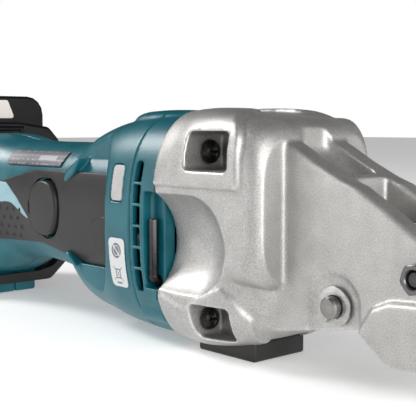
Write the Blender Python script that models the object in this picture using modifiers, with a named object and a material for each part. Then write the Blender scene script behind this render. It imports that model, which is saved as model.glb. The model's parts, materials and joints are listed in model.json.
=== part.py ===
"""Cordless double-cut shear: barrel grip, alloy gear case, swinging centre blade between two side blades.

Every length is in millimetres and MM turns it to metres. The tool's own frame has X along the motor
shaft towards the blades, Y to the left, Z up, and its origin where the shaft meets the gear case's back.
"""
import math

import bmesh
import bpy
from mathutils import Matrix, Vector

MM = 0.001
TOOL = "double_cut_shear"

# Driving dimensions
NOSE_TIP = 158.0
PACK_BACK = -240.0
FLOOR = -52.0
GAP = 0.3
CRANK_Z = -19.6
CRANK_THROW = 2.3
PIVOT_X = 86.0
PIVOT_Z = -22.0
ARM_HALF = 8.4
SLOT_HALF = 9.0
CHEEK_HALF = 18.0
BOSS_HALF = 21.0
GEAR_MODULE = 0.8
DRIVE_TEETH = 42
PINION_TEETH = 7
CASE_SCREWS = ((-20.5, 33.3), (20.5, 33.3), (-21.0, -35.5), (21.0, -35.5))
NOSE_BOLTS = ((124.0, -7.0, CHEEK_HALF), (134.0, -23.0, BOSS_HALF))
BUTTON_X = -93.5
BUTTON_Z = 3.2
TOP_SCREWS = ((-61.0, 10.5, 38.6), (-42.0, 10.5, 43.1))
KEY_X = -4.8
KEY_Z = -23.0

# Sections along X: x, half width, lowest z, highest z, superellipse power
RING = ((-17.0, 33, -49, 49, 2.7), (-1.2, 33, -49, 49, 2.7))
COLLAR = ((-17.3, 33, -49, 49, 2.7), (-36, 32.6, -47.5, 47.3, 2.7), (-50, 31, -45.5, 45.2, 2.6),
          (-64, 28.6, -43.3, 41.2, 2.6), (-72, 27.4, -39.5, 37.4, 2.6), (-81, 26.5, -30, 35.2, 2.6))
HANDLE = ((-30, 26.5, -30, 35.3, 2.6), (-80, 26.5, -29.5, 35.3, 2.6), (-100, 26.2, -27.3, 35.4, 2.6),
          (-125, 26, -26.6, 35.5, 2.6), (-142, 27.5, -29, 36.5, 2.6), (-156, 31, -35.5, 38.6, 2.7),
          (-168, 33.5, -40, 39.6, 2.9), (-174, 33.8, -40.3, 39.8, 2.9))
HOLLOW = ((-14, 29.5, -45.5, 45.5, 2.7), (-34, 29, -44, 44, 2.7), (-38.5, 23.8, -42, 42, 2.7),
          (-64, 23.8, -39, 37.8, 2.6), (-80, 23.4, -26.9, 32.5, 2.6), (-120, 23.2, -24, 32.7, 2.6),
          (-142, 24.6, -26, 33.6, 2.6), (-170, 30, -36, 36, 2.9))
BUMP_REAR = ((-46, 6, 38, 45.8, 2.5), (-40, 12, 38, 49.6, 2.6), (-28, 14, 38, 50.7, 3), (-17.3, 14, 38, 50.9, 3))
BUMP_FRONT = ((-17, 14, 38, 50.9, 3), (-6, 13, 38, 50.4, 3), (-1.2, 12, 38, 49.6, 3))
CASE_TOP = ((0, 33, -49, 49, 2.7), (12, 33, -40, 49.4, 3.2), (22, 33, -30, 49.3, 4), (40, 33, -22, 48.5, 5),
            (52, 33.5, -20, 47.4, 5), (58, 33, -20, 46.4, 5), (61, 30.5, -18, 44.3, 5))
CASE_FOOT = ((0, 33, -49, 49, 2.7), (20, 31.8, -47.6, 20, 3.1), (44, 28, -43, 10, 3.2), (52, 23, -40, 4, 3.2),
             (59, 17.5, -37, 0, 3.2))


def clear_scene():
    for item in list(bpy.data.objects):
        bpy.data.objects.remove(item, do_unlink=True)


def new_collection(name):
    group = bpy.data.collections.new(name)
    bpy.context.scene.collection.children.link(group)
    return group


def material(name, colour, roughness, metallic=0.0):
    """One Principled finish."""
    finish = bpy.data.materials.new(name)
    finish.use_nodes = True
    shader = finish.node_tree.nodes["Principled BSDF"]
    shader.inputs["Base Color"].default_value = (*colour, 1.0)
    shader.inputs["Roughness"].default_value = roughness
    shader.inputs["Metallic"].default_value = metallic
    finish.diffuse_color = (*colour, 1.0)
    return finish


clear_scene()
PARTS = new_collection(TOOL)
CUTTERS = new_collection("cutters")
ORIGIN = bpy.data.objects.new("tool_origin", None)
ORIGIN.location = Vector((-(NOSE_TIP + PACK_BACK) / 2, 0, -FLOOR)) * MM
PARTS.objects.link(ORIGIN)

COLOURS = {
    "teal": ((0.0, 0.13, 0.16), 0.4, 0.0),
    "casting": ((0.56, 0.55, 0.53), 0.38, 1.0),
    "elastomer": ((0.035, 0.034, 0.034), 0.6, 0.0),
    "black_plastic": ((0.012, 0.012, 0.013), 0.4, 0.0),
    "black_steel": ((0.02, 0.02, 0.022), 0.35, 0.9),
    "steel": ((0.45, 0.44, 0.43), 0.3, 1.0),
    "blade_steel": ((0.2, 0.19, 0.18), 0.4, 1.0),
    "copper": ((0.6, 0.25, 0.1), 0.35, 1.0),
    "pale": ((0.78, 0.76, 0.7), 0.45, 0.0),
    "window": ((0.55, 0.53, 0.5), 0.5, 0.0),
    "orange": ((0.8, 0.3, 0.05), 0.5, 0.0),
    "board": ((0.02, 0.16, 0.05), 0.5, 0.0),
}


def place(item, name, finish=None):
    """Links an object under the tool's origin: a part when it has a finish, otherwise a cutter."""
    item.name = name
    item.parent = ORIGIN
    if finish is None:
        CUTTERS.objects.link(item)
        item.hide_render = True
        item.display_type = "WIRE"
    else:
        PARTS.objects.link(item)
        item.data.materials.append(material(name + "_finish", *COLOURS[finish]))
    return item


def rounded(corners, steps=4):
    """An outline whose (u, v, radius) corners are arcs."""
    points = []
    for index, (u, v, radius) in enumerate(corners):
        here = Vector((u, v))
        if radius == 0:
            points.append(here)
            continue
        before = (Vector(corners[index - 1][:2]) - here).normalized()
        after = (Vector(corners[(index + 1) % len(corners)][:2]) - here).normalized()
        half = before.angle(after) / 2
        centre = here + (before + after).normalized() * (radius / math.sin(half))
        spoke = here + before * (radius / math.tan(half)) - centre
        turn = math.pi - 2 * half
        if spoke.cross(here - centre) < 0:
            turn = -turn
        for step in range(steps + 1):
            points.append(centre + Matrix.Rotation(turn * step / steps, 2) @ spoke)
    return points


def circle(u, v, radius, steps=20):
    return [Vector((u + radius * math.cos(2 * math.pi * k / steps), v + radius * math.sin(2 * math.pi * k / steps)))
            for k in range(steps)]


def mirrored(corners):
    """Adds the other half of an outline that is symmetric about u = 0, from top centre round to bottom centre."""
    return list(corners) + [(-u, v, radius) for u, v, radius in reversed(corners)]


PLANES = {"XY": Matrix(((1, 0, 0), (0, 1, 0), (0, 0, 1))),
          "XZ": Matrix(((1, 0, 0), (0, 0, -1), (0, 1, 0))),
          "YZ": Matrix(((0, 0, 1), (1, 0, 0), (0, 1, 0)))}


def plate(name, plane, low, high, loops, finish=None, bevel=0.0):
    """A flat outline with holes, drawn in one plane and thickened from low to high across it."""
    curve = bpy.data.curves.new(name, "CURVE")
    curve.dimensions = "2D"
    curve.fill_mode = "BOTH"
    curve.extrude = ((high - low) / 2 - bevel) * MM
    curve.bevel_depth = bevel * MM
    curve.bevel_resolution = 0
    curve.offset = -bevel * MM
    for loop in loops:
        spline = curve.splines.new("POLY")
        spline.points.add(len(loop) - 1)
        spline.use_cyclic_u = True
        for point, place_at in zip(spline.points, loop):
            point.co = (place_at[0] * MM, place_at[1] * MM, 0, 1)
    holder = bpy.data.objects.new(name, curve)
    bpy.context.scene.collection.objects.link(holder)
    holder.matrix_world = PLANES[plane].to_4x4()
    holder.location = PLANES[plane] @ Vector((0, 0, (high + low) / 2 * MM * (-1 if plane == "XZ" else 1)))
    bpy.context.view_layer.update()
    mesh = bpy.data.meshes.new_from_object(holder.evaluated_get(bpy.context.evaluated_depsgraph_get()))
    mesh.transform(holder.matrix_world)
    bpy.data.objects.remove(holder)
    mesh.materials.clear()
    work = bmesh.new()
    work.from_mesh(mesh)
    bmesh.ops.remove_doubles(work, verts=work.verts, dist=0.00001)
    bmesh.ops.recalc_face_normals(work, faces=work.faces)
    work.to_mesh(mesh)
    work.free()
    return place(bpy.data.objects.new(name, mesh), name, finish)


def box(name, low, high, finish=None, bevel=0.0):
    """A block between two corners."""
    work = bmesh.new()
    bmesh.ops.create_cube(work, size=1)
    mesh = bpy.data.meshes.new(name)
    for vert in work.verts:
        vert.co = Vector([(low[k] + high[k]) / 2 + vert.co[k] * (high[k] - low[k]) for k in range(3)]) * MM
    if bevel:
        bmesh.ops.bevel(work, geom=work.edges[:], offset=bevel * MM, segments=2, profile=0.5, affect="EDGES")
    work.to_mesh(mesh)
    work.free()
    return place(bpy.data.objects.new(name, mesh), name, finish)


AXES = {"X": Matrix.Rotation(math.pi / 2, 4, "Y"), "Y": Matrix.Rotation(-math.pi / 2, 4, "X"), "Z": Matrix()}


def turned(name, axis, centre, profile, finish=None, steps=18):
    """A solid of revolution: (distance along the axis, radius) points, closed through the axis or as a ring."""
    mesh = bpy.data.meshes.new(name)
    work = bmesh.new()
    verts = [work.verts.new((radius * MM, 0, along * MM)) for along, radius in profile]
    for first, second in zip(verts, verts[1:]):
        work.edges.new((first, second))
    if profile[0][1] > 0:
        work.edges.new((verts[-1], verts[0]))
    work.to_mesh(mesh)
    work.free()
    item = place(bpy.data.objects.new(name, mesh), name, finish)
    item.matrix_basis = Matrix.Translation(Vector(centre) * MM) @ AXES[axis]
    screw = item.modifiers.new("turn", "SCREW")
    screw.axis = "Z"
    screw.steps = steps
    screw.render_steps = steps
    screw.use_merge_vertices = True
    screw.merge_threshold = 0.00001
    screw.use_smooth_shade = True
    return item


def rod(name, axis, centre, low, high, radius, finish=None, steps=14):
    return turned(name, axis, centre, ((high, 0), (high, radius), (low, radius), (low, 0)), finish, steps)


def collar(name, axis, centre, low, high, inner, outer, finish=None, steps=18):
    return turned(name, axis, centre, ((high, inner), (high, outer), (low, outer), (low, inner)), finish, steps)


def superellipse(half_width, low, high, power, count=34):
    """Points of one cross section, as (y, z)."""
    middle = (low + high) / 2
    points = []
    for step in range(count):
        angle = 2 * math.pi * (step + 0.5) / count
        across = math.copysign(abs(math.cos(angle)) ** (2 / power), math.cos(angle))
        up = math.copysign(abs(math.sin(angle)) ** (2 / power), math.sin(angle))
        points.append((half_width * across, middle + (high - low) / 2 * up))
    return points


def loft(name, sections, finish=None, grow=0.0, ends=0.0):
    """A closed skin through unlike sections along X, grown outward and lengthened at both ends if asked."""
    work = bmesh.new()
    rings = []
    lean = math.copysign(1, sections[-1][0] - sections[0][0])
    for index, (x, half_width, low, high, power) in enumerate(sections):
        shift = {0: -ends * lean, len(sections) - 1: ends * lean}.get(index, 0)
        outline = superellipse(half_width + grow, low - grow, high + grow, power)
        rings.append([work.verts.new(Vector((x + shift, y, z)) * MM) for y, z in outline])
    for first, second in zip(rings, rings[1:]):
        for k in range(len(first)):
            after = (k + 1) % len(first)
            work.faces.new((first[k], first[after], second[after], second[k])).smooth = True
    work.faces.new(rings[0])
    work.faces.new(rings[-1])
    bmesh.ops.recalc_face_normals(work, faces=work.faces)
    mesh = bpy.data.meshes.new(name)
    work.to_mesh(mesh)
    work.free()
    return place(bpy.data.objects.new(name, mesh), name, finish)


def combine(item, operation, others):
    for other in others:
        step = item.modifiers.new(other.name, "BOOLEAN")
        step.operation = operation
        step.solver = "EXACT"
        step.object = other


def cut(item, *others):
    combine(item, "DIFFERENCE", others)


def fuse(item, *others):
    combine(item, "UNION", others)


def keep(item, *others):
    combine(item, "INTERSECT", others)


def gear_outline(teeth, centre, phase):
    """Slim straight-flanked teeth with backlash."""
    pitch = teeth * GEAR_MODULE / 2
    points = []
    for tooth in range(teeth):
        middle = phase + 2 * math.pi * tooth / teeth
        for radius, width in ((pitch - 0.85, -1.25), (pitch + 0.65, -0.5), (pitch + 0.65, 0.5), (pitch - 0.85, 1.25)):
            angle = middle + width / 2 / radius
            points.append((centre[0] + radius * math.cos(angle), centre[1] + radius * math.sin(angle)))
    return points


def pivot(name, location):
    """An empty on a joint's axis."""
    empty = bpy.data.objects.new(name, None)
    empty.parent = ORIGIN
    empty.location = Vector(location) * MM
    PARTS.objects.link(empty)
    return empty


def attach(empty, *items):
    for item in items:
        item.parent = empty
        item.location = item.location - empty.location


# ---------------------------------------------------------------- gear case

UPPER_BOSS = ((6, -30), (12, -34.5), (22, -36), (50, -32), (50, -18), (6, -18))
CHEEK = [(44, 40, 0), (56, 43, 4), (62, 37.5, 4), (65.6, 35.8, 0), (76, 30.1, 0), (88, 24.5, 0), (95, 22, 0),
         (107, 15.1, 0), (121, 6.3, 0), (133, -2, 3), (136.6, -12, 4), (145.3, -20.7, 4), (146.2, -30, 6), (137.5, -37.2, 6),
         (113, -39, 8), (98.8, -28.6, 3), (51, -37.3, 0), (44, -38.5, 0)]
JAW_BOSS = [(98, -29, 0), (104, -20, 4), (112, -16.5, 4), (137, -15, 3), (146, -20, 3), (147, -30, 6),
            (138, -38, 6), (112, -40, 8)]


def side_pair(build, name):
    """Two mirrored cutters or blocks."""
    return [build(f"{name}_{label}", side) for label, side in (("right", -1), ("left", 1))]


def boss_block(name, side):
    outline = [(x, y * -side) for x, y in UPPER_BOSS]
    return plate(name, "XY", 20.7, 43.4, [outline])


def side_column(name, side):
    low = min(side * 20.1, side * 36.1)
    return box(name, (49.3, low, -20.6), (61.3, low + 16, 40.2), bevel=4.5)


def scoop(name, side):
    """The finger scoop that clears the stored key: a round-ended groove along X."""
    radius = 24.6
    arc = [(22 + radius * math.sin(math.pi / 2 * k / 7), radius * math.cos(math.pi / 2 * k / 7)) for k in range(8)]
    profile = [(22 + radius, 0)] + arc[-2::-1] + [(-8, radius), (-8, 0)]
    return turned(name, "X", (0, side * 45.7, -5), profile, steps=30)


def screw_pocket(name, y, z, high):
    """A notch open to the side, with a flat seat facing forward and a curved front end."""
    side = math.copysign(1, y)
    reach = 50 * side
    inner = y - side * 7
    outline = rounded([(20.8, reach, 0), (20.8, inner, 0), (35.2, inner, 7), (40.4, side * 33.4, 0), (40.4, reach, 0)])
    return plate(name, "XY", z - 7.3, high, [outline])


def make_gear_case():
    case = loft("gear_case", CASE_TOP, "casting")
    foot = loft("case_foot_block", CASE_FOOT)
    cheeks = plate("case_cheeks", "XZ", -CHEEK_HALF, CHEEK_HALF, [rounded(CHEEK)])
    jaws = plate("case_jaw_boss", "XZ", -BOSS_HALF, BOSS_HALF, [rounded(JAW_BOSS)], bevel=2.0)
    fuse(case, foot, *side_pair(boss_block, "upper_boss"), *side_pair(side_column, "side_column"), cheeks, jaws)
    cut(case, *side_pair(scoop, "finger_scoop"))
    for number, (y, z) in enumerate(CASE_SCREWS, 1):
        cut(case, screw_pocket(f"pocket_{number}", y, z, 41 if z > 0 else -28.3),
            rod(f"case_screw_hole_{number}", "X", (0, y, z), -3, 21.5, 2.8))
    outline = rounded([(18.9, 14, 12), (18.9, -38.5, 18.5), (-18.9, -38.5, 18.5), (-18.9, 14, 12)])
    cut(case, plate("case_mouth", "YZ", -2, 8, [outline]),
        rod("gear_room", "X", (0, 0, CRANK_Z), 7, 20.3, 18.4, steps=26),
        rod("pinion_room", "X", (0, 0, 0), 7, 21, 6.5),
        turned("crank_bore", "X", (0, 0, CRANK_Z), ((46, 0), (46, 8.3), (33.9, 8.3), (33.9, 6.2), (19, 6.2), (19, 0))))
    slot = [(43.5, 1.5), (88, 1.5), (88, 60), (170, 60), (170, -60), (66, -60), (66, -33.6), (43.5, -33.6)]
    cut(case, plate("arm_slot", "XZ", -SLOT_HALF, SLOT_HALF, [slot]))
    trough = rounded([(58.8, 60, 0), (58.8, 34, 5), (84.5, 16, 0), (84.5, 60, 0)])
    cut(case, plate("top_trough", "XZ", 0.3 - SLOT_HALF, SLOT_HALF - 0.3, [trough], bevel=2.5))
    cut(case, rod("pin_bore", "Y", (PIVOT_X, 0, PIVOT_Z), -30, 30, 4.3))
    for label, side in (("right", -1), ("left", 1)):
        inner, outer = sorted((side * 17, side * 20.0))
        face = [(98.5, PIVOT_Z)] + [(PIVOT_X + 0.9 + 11.6 * math.cos(math.pi * k / 12),
                                     PIVOT_Z + 12 * math.sin(math.pi * k / 12)) for k in range(13)]
        spot = face[1:] + [(PIVOT_X - 10.7, -60), (PIVOT_X + 9.5, -60)]
        recess = plate(f"clip_recess_{label}", "XZ", inner, outer, [spot])
        cut(case, recess)
    for number, (x, z, half) in enumerate(NOSE_BOLTS, 1):
        cut(case, rod(f"nose_bolt_hole_{number}", "Y", (x, 0, z), -30, 30, 3.3))


def pan_screw(name, axis, centre, direction, length, finish="black_steel", radius=5.0, shank=2.5):
    """A pan-head cross-recess screw whose seat is at its centre, the head towards direction."""
    head = radius * 0.72
    profile = [(0, radius), (head * 0.45, radius * 0.97), (head * 0.8, radius * 0.72), (head, radius * 0.35), (head, 0)]
    points = [(-length, 0), (-length, shank), (0, shank)] + profile
    points = [(along * direction, width) for along, width in points]
    if direction > 0:
        points.reverse()
    screw = turned(name, axis, centre, points, finish, steps=12)
    unit = Vector({"X": (1, 0, 0), "Y": (0, 1, 0), "Z": (0, 0, 1)}[axis]) * direction
    across = [Vector((0, 1, 0)) if axis == "X" else Vector((1, 0, 0))]
    across.append(unit.cross(across[0]))
    for turn, (wide, thin) in enumerate((across, across[::-1])):
        low = Vector(centre) + unit * (head - 1.8)
        high = Vector(centre) + unit * (head + 2)
        spread = wide * radius * 0.45 + thin * radius * 0.12
        spread = Vector([abs(value) for value in spread])
        corners = [low - spread, low + spread, high - spread, high + spread]
        first = [min(corner[k] for corner in corners) for k in range(3)]
        last = [max(corner[k] for corner in corners) for k in range(3)]
        cut(screw, box(f"{name}_recess_{turn}", first, last))
    return screw


def make_case_fittings():
    for number, (y, z) in enumerate(CASE_SCREWS, 1):
        pan_screw(f"gear_case_screw_{number}", "X", (21.1, y, z), 1, 34.5)
    edge = superellipse(33, -49, 49, 2.7)
    inside = superellipse(31.2, -47.2, 47.2, 2.7)
    gasket = plate("case_gasket", "YZ", -0.9, -0.3, [edge, inside], "orange")
    cut(gasket, box("key_gap", (-3, -50, -25.5), (2, -26.7, 16)))
    outline = rounded([(18.6, 13.7, 12), (18.6, -38.2, 18.3), (-18.6, -38.2, 18.3), (-18.6, 13.7, 12)])
    plate("bearing_plate", "YZ", 0.6, 7.4, [outline, circle(0, 0, 8.3, 24), circle(0, CRANK_Z, 8.3, 24)], "casting")
    pad = box("bottom_pad", (8, -15, FLOOR), (42, 15, -38), "elastomer")
    cut(pad, loft("pad_relief_back", CASE_TOP, grow=GAP, ends=2), loft("pad_relief", CASE_FOOT, grow=GAP, ends=3),
        plate("pad_relief_cheeks", "XZ", -30, 30, [[(40, -38.9), (51, -37.7), (80, -31.5), (80, 0), (40, 0)]]))


# ---------------------------------------------------------------- drive

def make_rotor():
    axis = pivot("rotor_axis", (0, 0, 0))
    shaft = turned("rotor_shaft", "X", (0, 0, 0),
                   ((20, 0), (20, 1.8), (8.5, 1.8), (8.5, 2.5), (-86, 2.5), (-86, 0)), "steel", 20)
    pinion = gear_outline(PINION_TEETH, (0, 0), -math.pi / 2 + math.pi / PINION_TEETH)
    fuse(shaft, plate("pinion_teeth", "YZ", 9.2, 18.8, [pinion]))
    core = collar("rotor_core", "X", (0, 0, 0), -62, -24, 2.8, 13, "blade_steel")
    commutator = collar("commutator", "X", (0, 0, 0), -75, -64, 2.8, 8, "copper")
    fan = collar("cooling_fan", "X", (0, 0, 0), -15.5, -14, 2.8, 18.5, "black_plastic", 24)
    blades = []
    for blade in range(9):
        middle = 2 * math.pi * blade / 9
        for radius, spread in ((6.5, -0.25), (18, -0.04), (18, 0.04), (6.5, 0.1)):
            angle = middle + spread
            blades.append((radius * math.cos(angle), radius * math.sin(angle)))
    fuse(fan, plate("fan_blades", "YZ", -14.5, -9.5, [blades, circle(0, 0, 2.8, 16)]))
    attach(axis, shaft, core, commutator, fan)
    for name, x in (("rotor_front_bearing", 1.0), ("rotor_rear_bearing", -84.0)):
        collar(name, "X", (0, 0, 0), x, x + 5, 2.8, 8.0, "steel")
    collar("motor_yoke", "X", (0, 0, 0), -64, -20, 18.3, 20.6, "steel", 24)
    for number, middle in ((1, math.pi / 2), (2, -math.pi / 2)):
        sweep = [middle - 1.1 + 2.2 * k / 10 for k in range(11)]
        arc = [(18 * math.cos(a), 18 * math.sin(a)) for a in sweep]
        arc += [(14 * math.cos(a), 14 * math.sin(a)) for a in reversed(sweep)]
        plate(f"field_magnet_{number}", "YZ", -60, -26, [arc], "black_plastic")
    for number, side in ((1, -1), (2, 1)):
        low, high = sorted((side * 8.4, side * 17))
        box(f"carbon_brush_{number}", (-72, low, -3), (-66, high, 3), "black_plastic")


def make_crank():
    axis = pivot("crank_axis", (0, 0, CRANK_Z))
    gear = gear_outline(DRIVE_TEETH, (0, CRANK_Z), math.pi / 2)
    drive = plate("drive_gear", "YZ", 9.5, 18.5, [gear, circle(0, CRANK_Z, 4.3, 20)], "steel")
    shaft = turned("crankshaft", "X", (0, 0, CRANK_Z),
                   ((48, 0), (48, 6), (44.3, 6), (44.3, 4), (1.5, 4), (1.5, 0)), "steel")
    fuse(shaft, rod("crank_pin", "X", (0, 0, CRANK_Z - CRANK_THROW), 47, 63, 1.7, steps=16))
    roller = collar("eccentric_roller", "X", (0, 0, CRANK_Z - CRANK_THROW), 55.5, 62.5, 2.0, 3.3, "steel", 14)
    attach(axis, drive, shaft, roller)
    for name, x in (("crank_rear_bearing", 1.6), ("crank_front_bearing", 34.3)):
        collar(name, "X", (0, 0, CRANK_Z), x, x + 5, 4.3, 8.0, "steel")


ARM = [(55, -5.5, 0), (55, -13.9, 0), (66.5, -13.9, 2), (66.5, -30.6, 2), (55, -30.6, 0), (55, -32.8, 0), (70, -31.8, 2),
       (86, -29.5, 6), (95, -24, 4), (107, -14, 3), (107, 9, 3), (92, 8, 6), (84, -7, 5), (68, -5.5, 0)]
BLADE = [(90, 6, 2), (90, -4, 2), (100, -15, 2), (127.5, -14.5, 1), (129.6, -8, 0), (134, -6, 0), (157.6, -1, 0),
         (157.6, 2, 0), (146, 8, 3), (118, 10.5, 4), (104, 8.5, 2)]
BLADE_PINS = ((95.5, 1.5), (103, -8.5))


def bolt_slot():
    """The slot that clears the upper nose bolt while the blade swings: a bent capsule."""
    bolt = Vector((NOSE_BOLTS[0][0] - PIVOT_X, NOSE_BOLTS[0][1] - PIVOT_Z))
    sweep = [math.radians(10.2) * k / 4 for k in range(5)]
    spine = [Matrix.Rotation(turn, 2) @ bolt for turn in sweep]
    start = math.atan2(bolt.y, bolt.x)
    outer = [point + point.normalized() * 3.7 for point in spine]
    inner = [point - point.normalized() * 3.7 for point in spine]
    foot = [spine[0] + Vector((math.cos(start - a), math.sin(start - a))) * 3.7 for a in (2.4, 1.6, 0.8)]
    head_turn = start + sweep[-1]
    head = [spine[-1] + Vector((math.cos(head_turn + a), math.sin(head_turn + a))) * 3.7 for a in (0.8, 1.6, 2.4)]
    centre = Vector((PIVOT_X, PIVOT_Z))
    return [centre + point for point in outer + head + inner[::-1] + foot]


def make_blades():
    axis = pivot("blade_axis", (PIVOT_X, 0, PIVOT_Z))
    pins = [circle(x, z, 2.3, 16) for x, z in BLADE_PINS]
    arm = plate("swing_arm", "XZ", -ARM_HALF, ARM_HALF, [rounded(ARM), circle(PIVOT_X, PIVOT_Z, 4.3)] + pins,
                "blade_steel")
    cut(arm, box("blade_seat", (89.5, -3.3, -30), (120, 3.3, 30)))
    blade = plate("center_blade", "XZ", -3, 3, [rounded(BLADE), bolt_slot()] + pins, "blade_steel")
    attach(axis, arm, blade)
    for number, (x, z) in enumerate(BLADE_PINS, 1):
        attach(axis, rod(f"blade_pin_{number}", "Y", (x, 0, z), -ARM_HALF, ARM_HALF, 2.0, "steel", 16))
    tip = 22.0
    turned("pivot_pin", "Y", (PIVOT_X, 0, PIVOT_Z),
           ((tip, 0), (tip, 3.2), (tip - 0.8, 4), (-tip + 0.8, 4), (-tip, 3.2), (-tip, 0)), "steel", 24)
    side = rounded([(114, 1, 3), (124, 3, 0), (132, -4, 0), (135, -11, 0), (158, -16, 0), (157.5, -19, 2),
                    (146, -31, 6), (120, -33, 4), (114, -26, 3)])
    holes = [circle(x, z, 3.3, 16) for x, z, half in NOSE_BOLTS]
    for label, direction in (("right", -1), ("left", 1)):
        low, high = sorted((direction * 3.4, direction * 8.6))
        plate(f"side_blade_{label}", "XZ", low, high, [side] + holes, "blade_steel")
        arc = [math.radians(-60 + 300 * k / 16) for k in range(17)]
        clip = [(PIVOT_X + 7.6 * math.cos(a), PIVOT_Z + 7.6 * math.sin(a)) for a in arc]
        clip += [(PIVOT_X + 4.4 * math.cos(a), PIVOT_Z + 4.4 * math.sin(a)) for a in reversed(arc)]
        low, high = sorted((direction * 17.4, direction * 18.4))
        plate(f"e_clip_{label}", "XZ", low, high, [clip], "steel")
    for number, (x, z, half) in enumerate(NOSE_BOLTS, 1):
        reach = half + 5.3
        bolt = turned(f"nose_bolt_{number}", "Y", (x, 0, z),
                      ((reach + 1, 0), (reach + 1, 4.6), (reach, 5), (half + GAP, 5), (half + GAP, 3),
                       (-reach + 1, 3), (-reach + 1, 0)), "black_steel")
        socket = circle(x, z, 2.9, 6)
        cut(bolt, plate(f"bolt_socket_{number}", "XZ", reach - 2.5, reach + 4, [socket]))
        turn = 0.2 if number == 1 else 0.45
        hexagon = [(x + 5.77 * math.cos(turn + math.pi * k / 3), z + 5.77 * math.sin(turn + math.pi * k / 3))
                   for k in range(6)]
        plate(f"nose_nut_{number}", "XZ", -half - 5.3, -half - GAP, [hexagon, circle(x, z, 3.3, 20)], "black_steel",
              bevel=0.5)


# ---------------------------------------------------------------- housing

def rim_cutter(name, side):
    """Takes the side off the collar behind its swept-back rim."""
    outline = [(-130 + 94 * x / 100, 4 + 46 * z / 100) for x, z in superellipse(100, -100, 100, 4)]
    low, high = sorted((side * 20, side * 60))
    return plate(name, "XZ", low, high, [outline])


def vent_slots(name, side):
    low, high = sorted((side * 24, side * 40))
    return [box(f"{name}_{number}", (-15.3, low, z - 3.7), (-10.1, high, z + 3.7))
            for number, z in enumerate((23.8, 14.6, 5.4, -3.8, -13.0, -22.2), 1)]


def make_ring():
    ring = loft("motor_ring", RING, "teal")
    fuse(ring, loft("ring_bump", BUMP_FRONT))
    cut(ring, loft("ring_hollow", RING, grow=-3.2, ends=4))
    wall = box("key_wall", (-9.3, -31.5, -30.2), (-1.6, -20.7, 20))
    fuse(ring, wall)
    for number, (y, z) in enumerate(CASE_SCREWS, 1):
        fuse(ring, rod(f"ring_boss_{number}", "X", (0, y, z), -16.8, -1.4, 6.5))
    cut(ring, box("key_recess", (-8.1, -50, -25.5), (2, -26.7, 16)))
    cut(ring, rod("key_tunnel", "Y", (KEY_X, 0, KEY_Z), -30, 60, 2.5, steps=16))
    for label, side in (("right", -1), ("left", 1)):
        for slot in vent_slots(f"vent_{label}", side):
            cut(ring, slot)
    for number, (y, z) in enumerate(CASE_SCREWS, 1):
        cut(ring, rod(f"ring_screw_hole_{number}", "X", (0, y, z), -14.5, 4, 2.8))


def make_hex_key():
    """An angled 4 mm key: the short leg shows in the recess and the long leg lies across the tool."""
    curve = bpy.data.curves.new("hex_key", "CURVE")
    curve.dimensions = "3D"
    curve.bevel_depth = 2.0 * MM
    curve.bevel_resolution = 1
    curve.use_fill_caps = True
    bend = [(-26.2 - 3 * math.sin(math.pi / 2 * k / 4), KEY_Z + 3 - 3 * math.cos(math.pi / 2 * k / 4)) for k in range(5)]
    route = [(30, KEY_Z)] + bend + [(-29.2, 4.5)]
    spline = curve.splines.new("POLY")
    spline.points.add(len(route) - 1)
    for point, (y, z) in zip(spline.points, route):
        point.co = (KEY_X * MM, y * MM, z * MM, 1)
    holder = bpy.data.objects.new("hex_key_curve", curve)
    bpy.context.scene.collection.objects.link(holder)
    bpy.context.view_layer.update()
    mesh = bpy.data.meshes.new_from_object(holder.evaluated_get(bpy.context.evaluated_depsgraph_get()))
    bpy.data.objects.remove(holder)
    mesh.materials.clear()
    work = bmesh.new()
    work.from_mesh(mesh)
    bmesh.ops.remove_doubles(work, verts=work.verts, dist=0.00001)
    bmesh.ops.recalc_face_normals(work, faces=work.faces)
    work.to_mesh(mesh)
    work.free()
    key = place(bpy.data.objects.new("hex_key", mesh), "hex_key", "black_steel")
    attach(pivot("key_axis", (KEY_X, 0, KEY_Z)), key)


def oval(grow):
    """The switch button's outline, fuller at the front."""
    return [(BUTTON_X + (12.3 + grow) * y / 100, BUTTON_Z + (13.6 + grow) * z / 100)
            for y, z in superellipse(100, -100, 100, 2.3, 24)]


GRIP = [(-150, 12, 6), (-104, 22, 0), (-37.4, 22, 0), (-37.4, -10, 0), (-41, -24, 0), (-62, -22, 0), (-100, -15, 12), (-150, -17, 6)]


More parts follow.
